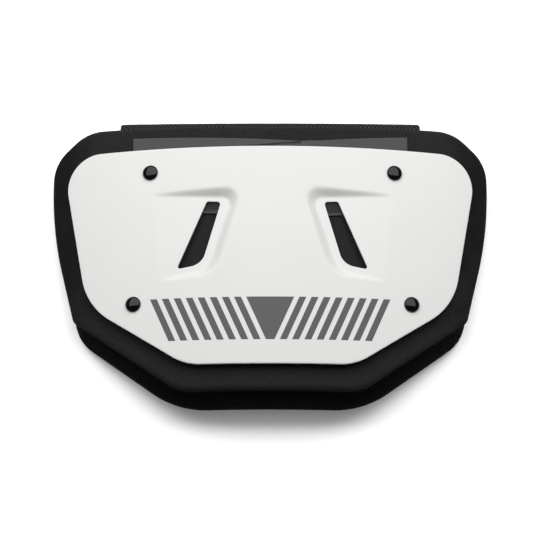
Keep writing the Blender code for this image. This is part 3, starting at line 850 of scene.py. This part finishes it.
def makePad(material):
    counts = arcCounts(padCorners(0, 1), pad["pitch"])
    seam = roundedLine(padCorners(0, 1), pad["pitch"], counts=counts)
    steps = stepsAlong(seam, pad["pitch"])
    rings = []
    for share, widen, inset, rise in pad["sections"]:
        slack = pad["slack"] * min(1, 4 * share)
        inward = inset * pad["edgeRadius"] + slack
        line = roundedLine(padCorners(widen, rise), pad["pitch"], inward, counts=counts)
        rings.append((cutLine(line, steps), padFace + share * (layers["pad"] - pad["slack"])))
    piece = slab("knit_pad", rings, [], pad["pitch"], pad["pitch"])
    puffPad(piece, rings[-1][0])
    laySurface(piece.data, cutLine(seam, steps), padFace)
    smooth = piece.modifiers.new("Subdivision", "SUBSURF")
    smooth.levels = smooth.render_levels = 1
    bendPiece(piece, material)
    places = meshPlaces(piece.data)
    places[:, 2] = np.maximum(places[:, 2], 0.0)  # flat where it rests
    setPlaces(piece.data, places)
    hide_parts("rear_pad")
    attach(piece, "root")
    print("stage: pad made,", len(piece.data.polygons), "faces")


# Webbing straps between shell and foam

straps = {
    "width": 58.0 * mm,
    "overhang": 13.9 * mm,  # past the rivet's middle
    "slant": 0.31,  # the hidden inner ends are cut back by this much for each millimetre down
    "rampFrom": 26.7 * mm,  # the upper band leaves the lower one here, at the height of the shell's top
    "ramp": 7.5 * mm,
    "edgeRadius": 0.4 * mm,
    "selvedge": 0.45 * mm,
    "pitch": 2.0 * mm,
    # Name, side, tilt, rise over the shell's top edge, reach past the middle, depth of its inner stretch,
    # then how far across its top edge carries the painted shadow line
    "rows": (
        ("strap_left", -1, radians(2.6), 11.8 * mm, 28.0 * mm, strapLow, 0.0),
        ("strap_right", 1, radians(5.2), 12.85 * mm, 24.0 * mm, strapHigh, 31.0 * mm),
    ),
}


def makeStrap(row, material):
    node, side, tilt, rise, reach, innerDepth, shadowLineTo = row
    spot = rivetSpot(rivet["places"][0 if side < 0 else 1])
    outer = abs(spot[0] - offCentre) + straps["overhang"]
    top = shellTop + rise
    fall = tan(tilt) * (outer + reach)
    drop = straps["width"] / cos(tilt)
    innerFoot = straps["slant"] * drop - reach
    corners = [
        (-reach, top - fall, 0.0), (innerFoot, top - drop - tan(tilt) * (outer - innerFoot), 0.0),
        (outer, top - drop, 0.0), (outer, top, 0.0),
    ]
    corners = [(side * u, v, radius) for u, v, radius in corners][::side]

    def lift(points):
        rampFrom = straps["rampFrom"] + straps["slant"] * (points[:, 1] - shellTop)
        share = np.clip((side * points[:, 0] - rampFrom) / straps["ramp"], 0, 1)
        return innerDepth - strapLow + share * share * (3 - 2 * share) * (strapLow - innerDepth)

    radius = straps["edgeRadius"]
    profile = [(i, strapLow + d) for i, d in roundOver(radius, 3)]
    profile += [(i, strapLow + layers["strap"] - d) for i, d in roundOver(radius, 3)[::-1]]
    rings = insetRings(corners, profile, straps["pitch"])
    hole = circleLine(*spot, rivet["shankRadius"] + layers["gap"], rivet["sides"] // 2)
    holes = [[(hole, strapLow), (hole, strapLow + layers["strap"])]]
    piece = slab(f"{node}_webbing", rings, holes, straps["pitch"], straps["pitch"], lift)
    layer = piece.data.uv_layers.new(name="surface")  # along the band and across it, in metres
    places = meshPlaces(piece.data)
    turned = np.stack((places[:, 0] * cos(tilt) + side * places[:, 1] * sin(tilt),
                       places[:, 1] * cos(tilt) - side * places[:, 0] * sin(tilt)), 1)
    for loop in piece.data.loops:
        layer.data[loop.index].uv = tuple(turned[loop.vertex_index])
    atTop = turned[:, 1] > turned[:, 1].max() - straps["selvedge"]
    # Painted shadow line along the top edge of the upper band, where it lies over the lower band.
    keepValue(piece.data, "topSelvedge", atTop & (turned[:, 0] < shadowLineTo) & (shadowLineTo > 0))
    # Painted highlight along the bottom edge, where it catches the lamp.
    keepValue(piece.data, "bottomSelvedge", turned[:, 1] < turned[:, 1].min() + straps["selvedge"])
    bendPiece(piece, material)
    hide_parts(node)
    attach(piece, "root")
    print("stage:", node, "made,", len(piece.data.polygons), "faces")


# Snap rivets: one turned rivet, set at each place by Geometry Nodes

def turnedPiece(name, profile, sides):
    # Closed solid of revolution through (radius, height) from the top down
    places = []
    polygons = []
    rows = []
    for radius, height in profile:
        count = sides if radius else 1
        angles = [2 * pi * k / sides for k in range(count)]
        rows.append([len(places) + k for k in range(count)])
        places.extend((radius * cos(angle), radius * sin(angle), height) for angle in angles)
    for above, below in zip(rows, rows[1:]):
        for k in range(sides):
            after = (k + 1) % sides
            ring = [above[after % len(above)], above[k % len(above)], below[k % len(below)], below[after % len(below)]]
            polygons.append(tuple(dict.fromkeys(ring)))
    return meshPiece(name, places, polygons)


def rivetProfile():
    seat = layers["gap"]
    dome = rivet["headHeight"] - rivet["rim"]
    profile = [(0.0, seat + rivet["headHeight"])]
    for k in range(1, 13):
        angle = pi / 2 * k / 12
        profile.append((rivet["headRadius"] * sin(angle), seat + rivet["rim"] + dome * cos(angle)))
    for k in range(4):
        angle = pi / 2 * k / 3
        small = rivet["rimRound"]
        profile.append((rivet["headRadius"] - small * (1 - cos(angle)), seat + small * (1 - sin(angle))))
    flangeTop = -(foamBack - rivet["flangeThickness"])
    profile += [(rivet["shankRadius"], seat), (rivet["shankRadius"], flangeTop)]
    profile += [(rivet["flangeRadius"], flangeTop), (rivet["flangeRadius"], -foamBack), (0.0, -foamBack)]
    return profile


def makeRivets(material):
    one = turnedPiece("one_rivet", rivetProfile(), rivet["sides"])
    places = [(*rivetSpot(row), 0.0) for row in rivet["places"]]
    mesh = bpy.data.meshes.new("snap_rivets")
    mesh.from_pydata(places, [], [])
    piece = bpy.data.objects.new("snap_rivets", mesh)
    bpy.context.scene.collection.objects.link(piece)
    tree, given = newTree("setRivets", {**bendInputs, "Rivet": "NodeSocketObject"})
    spots = addNode(tree, "GeometryNodeMeshToPoints", {}, {"Mesh": given["Geometry"]})
    spot = addNode(tree, "ShaderNodeSeparateXYZ", {}, {0: addNode(tree, "GeometryNodeInputPosition").outputs[0]})
    angle = addNode(tree, "ShaderNodeMath", {"operation": "DIVIDE"}, {0: spot.outputs[0], 1: given["Bend Radius"]})
    lean = addNode(tree, "ShaderNodeCombineXYZ", {}, {1: angle.outputs[0]})
    kept = addNode(tree, "GeometryNodeStoreNamedAttribute", {"data_type": "FLOAT_VECTOR", "domain": "POINT"},
                   {"Geometry": spots.outputs[0], "Name": "lean", "Value": lean.outputs[0]})
    bent = bendInTree(tree, given, kept.outputs[0])[0]
    head = addNode(tree, "GeometryNodeObjectInfo", {}, {"Object": given["Rivet"]})
    turn = addNode(tree, "GeometryNodeInputNamedAttribute", {"data_type": "FLOAT_VECTOR"}, {"Name": "lean"})
    copies = addNode(tree, "GeometryNodeInstanceOnPoints", {},
                     {"Points": bent, "Instance": head.outputs["Geometry"], "Rotation": turn.outputs[0]})
    endTree(tree, copies.outputs[0], given["Material"])
    runTree(piece, tree, {**bendValues, "Material": material, "Rivet": one})
    bpy.data.objects.remove(one)
    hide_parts("rivet_upper_left", "rivet_upper_right", "rivet_lower_left", "rivet_lower_right")
    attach(piece, "root")
    print("stage: rivets set,", len(piece.data.polygons), "faces")


# Plain printed bars low on the shell, leaning away from a solid wedge in the middle

bars = {
    "count": 8,
    "pitch": 8.6 * mm,
    "width": 4.9 * mm,
    "height": 31.0 * mm,
    "lean": 0.45,  # shift across for each millimetre up
    "top": -32.5 * mm,  # from the shell's middle
    "wedgeFoot": 3.0 * mm,  # half the wedge's width at its lower end
    "inkDepth": 0.06 * mm,
}


def makeBars(material):
    # A line of points carries the bars of the right half; all lean, are mirrored, and are bent with the shell
    tree, given = newTree("printBars", {
        **bendInputs, "Count": "NodeSocketInt", "Pitch": "NodeSocketFloat", "Width": "NodeSocketFloat",
        "Height": "NodeSocketFloat", "Lean": "NodeSocketFloat", "Top": "NodeSocketFloat",
        "First": "NodeSocketFloat", "Wedge Foot": "NodeSocketFloat", "Ink Depth": "NodeSocketFloat",
    })
    half = addNode(tree, "ShaderNodeMath", {"operation": "DIVIDE"}, {0: given["Height"], 1: 2.0})
    middle = addNode(tree, "ShaderNodeMath", {"operation": "SUBTRACT"}, {0: given["Top"], 1: half.outputs[0]})
    start = addNode(
        tree, "ShaderNodeCombineXYZ", {}, {0: given["First"], 1: middle.outputs[0], 2: given["Ink Depth"]}
    )
    step = addNode(tree, "ShaderNodeCombineXYZ", {}, {0: given["Pitch"]})
    line = addNode(
        tree, "GeometryNodeMeshLine", {"mode": "OFFSET"},
        {"Count": given["Count"], "Start Location": start.outputs[0], "Offset": step.outputs[0]},
    )
    bar = addNode(
        tree, "GeometryNodeMeshGrid", {},
        {"Size X": given["Width"], "Size Y": given["Height"], "Vertices X": 4, "Vertices Y": 9},
    )
    copies = addNode(
        tree, "GeometryNodeInstanceOnPoints", {}, {"Points": line.outputs[0], "Instance": bar.outputs[0]}
    )
    row = addNode(tree, "GeometryNodeRealizeInstances", {}, {"Geometry": copies.outputs[0]})

    # How far each point stands below the print's top, and the shift that the lean gives it there
    spot = addNode(tree, "ShaderNodeSeparateXYZ", {}, {0: addNode(tree, "GeometryNodeInputPosition").outputs[0]})
    over = addNode(tree, "ShaderNodeMath", {"operation": "SUBTRACT"}, {0: spot.outputs[1], 1: given["Top"]})
    shift = addNode(tree, "ShaderNodeMath", {"operation": "MULTIPLY"}, {0: over.outputs[0], 1: given["Lean"]})
    slide = addNode(tree, "ShaderNodeCombineXYZ", {}, {0: shift.outputs[0]})
    leant = addNode(tree, "GeometryNodeSetPosition", {}, {"Geometry": row.outputs[0], "Offset": slide.outputs[0]})

    # The wedge's right half is a grid one metre wide, scaled across to the leaning edge
    block = addNode(
        tree, "GeometryNodeMeshGrid", {},
        {"Size X": 1.0, "Size Y": given["Height"], "Vertices X": 5, "Vertices Y": 9},
    )
    corner = addNode(tree, "ShaderNodeCombineXYZ", {}, {0: 0.5, 1: middle.outputs[0], 2: given["Ink Depth"]})
    placed = addNode(
        tree, "GeometryNodeTransform", {}, {"Geometry": block.outputs[0], "Translation": corner.outputs[0]}
    )
    foot = addNode(
        tree, "ShaderNodeMath", {"operation": "MULTIPLY_ADD"},
        {0: given["Height"], 1: given["Lean"], 2: given["Wedge Foot"]},
    )
    edge = addNode(tree, "ShaderNodeMath", {"operation": "ADD"}, {0: foot.outputs[0], 1: shift.outputs[0]})
    across = addNode(tree, "ShaderNodeMath", {"operation": "MULTIPLY"}, {0: spot.outputs[0], 1: edge.outputs[0]})
    point = addNode(tree, "ShaderNodeCombineXYZ", {}, {0: across.outputs[0], 1: spot.outputs[1], 2: spot.outputs[2]})
    wedge = addNode(
        tree, "GeometryNodeSetPosition", {}, {"Geometry": placed.outputs[0], "Position": point.outputs[0]}
    )

    right = addNode(tree, "GeometryNodeJoinGeometry", {}, {0: leant.outputs[0]})
    tree.links.new(wedge.outputs[0], right.inputs[0])
    mirrored = addNode(tree, "GeometryNodeTransform", {}, {"Geometry": right.outputs[0], "Scale": (-1, 1, 1)})
    outward = addNode(tree, "GeometryNodeFlipFaces", {}, {"Mesh": mirrored.outputs[0]})
    both = addNode(tree, "GeometryNodeJoinGeometry", {}, {0: right.outputs[0]})
    tree.links.new(outward.outputs[0], both.inputs[0])
    endTree(tree, bendInTree(tree, given, both.outputs[0])[0], given["Material"])

    piece = bpy.data.objects.new("printed_bars", bpy.data.meshes.new("printed_bars"))
    bpy.context.scene.collection.objects.link(piece)
    first = bars["wedgeFoot"] + bars["lean"] * bars["height"] + bars["pitch"] - bars["width"] / 2
    runTree(piece, tree, {
        **bendValues, "Material": material, "Count": bars["count"], "Pitch": bars["pitch"],
        "Width": bars["width"], "Height": bars["height"], "Lean": bars["lean"], "Top": bars["top"],
        "First": first, "Wedge Foot": bars["wedgeFoot"], "Ink Depth": bars["inkDepth"],
    })
    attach(piece, "root")
    print("stage: bars printed,", len(piece.data.polygons), "faces")


# Floor, lights and camera

studio = {
    "floorSize": 8.0,
    "floorWhite": "#F6F6F6",
    "skyWhite": "#FFFFFF",
    "skyStrength": 0.12,
    "boxGlow": 2.5,  # radiance of the softbox, where white paper in full light is 1
    "boxWide": 2.3,
    "boxDeep": 2.0,
    "boxHeight": 1.0,
    "boxFront": 0.0,  # its front edge hangs over the shell's middle, so the rivets mirror it in their top half
    "floorGlow": 0.15,  # the paper is lit a little from below, as on a light table
    # The paper lamps light the paper alone and wash it out, but leave the shadow's core: place and power
    "paperLamps": ((-1.25, 1.0, 16.0), (1.25, 1.0, 16.0), (0.0, 0.25, 13.0)),
    "paperLampSize": 1.4,
    "paperLampHeight": 2.3,
    "floorDrop": 0.1 * mm,  # keeps the floor clear of the pad's flat underside
}
view = {
    "tilt": radians(16.5),  # from straight above towards the lower edge
    "distance": 1.3,
    "widthSeen": 382.2 * mm,  # across the frame at the aim
    "aimUp": -13.05 * mm,  # the frame's middle, from the shell's middle
    "shiftPixels": -0.2,
    "framePixels": 540,
}


def hangLamp(name, power, wide, deep, place):
    # A lamp that points straight down and isn't seen itself
    lamp = bpy.data.lights.new(name, "AREA")
    lamp.shape = "RECTANGLE"
    lamp.size = wide
    lamp.size_y = deep
    lamp.energy = power
    item = bpy.data.objects.new(name, lamp)
    item.location = place
    item.visible_camera = False
    bpy.context.scene.collection.objects.link(item)
    return item


def makeStudio():
    scene = bpy.context.scene
    scene.view_settings.view_transform = "Standard"
    size = studio["floorSize"] / 2
    mesh = bpy.data.meshes.new("floor")
    corners = [(x * size, y * size, -studio["floorDrop"]) for x, y in ((-1, -1), (1, -1), (1, 1), (-1, 1))]
    mesh.from_pydata(corners, [], [(0, 1, 2, 3)])
    floor = bpy.data.objects.new("floor", mesh)
    scene.collection.objects.link(floor)
    paper, tree, shader = newMaterial("whiteBackdropPaper", {"Roughness": 0.9})
    place = addNode(tree, "ShaderNodeTexCoord").outputs["Object"]
    fibre = addNode(tree, "ShaderNodeTexNoise", {}, {"Vector": place, "Scale": 400.0})
    bump = addNode(tree, "ShaderNodeBump", {}, {"Strength": 0.05, "Distance": 0.1 * mm, "Height": fibre.outputs[0]})
    tree.links.new(bump.outputs[0], shader.inputs["Normal"])
    shader.inputs["Base Color"].default_value = linearColour(studio["floorWhite"])
    shader.inputs["Specular IOR Level"].default_value = 0.0
    shader.inputs["Emission Color"].default_value = linearColour(studio["floorWhite"])
    shader.inputs["Emission Strength"].default_value = studio["floorGlow"]
    mesh.materials.append(paper)
    world = bpy.data.worlds.new("studio")
    world.use_nodes = True
    sky = world.node_tree.nodes["Background"]
    sky.inputs["Color"].default_value = linearColour(studio["skyWhite"])
    sky.inputs["Strength"].default_value = studio["skyStrength"]
    scene.world = world
    aim = Vector((0.0, middleY + view["aimUp"], axisZ + bend["radius"]))
    wide, deep = studio["boxWide"], studio["boxDeep"]
    place = (0.0, studio["boxFront"] + deep / 2, studio["boxHeight"])
    hangLamp("softbox", studio["boxGlow"] * pi * wide * deep, wide, deep, place)
    lit = bpy.data.collections.new("lit_by_paper_lamps")
    lit.objects.link(floor)
    size = studio["paperLampSize"]
    for across, up, power in studio["paperLamps"]:
        lamp = hangLamp("paper_lamp", power, size, size, (across, up, studio["paperLampHeight"]))
        lamp.light_linking.receiver_collection = lit
    camera = bpy.data.cameras.new("camera")
    camera.lens = camera.sensor_width * view["distance"] / view["widthSeen"]
    camera.shift_x = view["shiftPixels"] / view["framePixels"]
    item = bpy.data.objects.new("camera", camera)
    item.location = aim + view["distance"] * Vector((0.0, -sin(view["tilt"]), cos(view["tilt"])))
    item.rotation_euler = (view["tilt"], 0.0, 0.0)
    scene.collection.objects.link(item)
    scene.camera = item
    print("stage: studio set")


makeStudio()
makeShell(makeShellPlastic())
makeFoam(makeFoamSkin())
makePad(makeSpacerKnit())
webbing = makeWebbing()
for row in straps["rows"]:
    makeStrap(row, webbing)
makeRivets(makeRivetPlastic())
makeBars(makeInk())
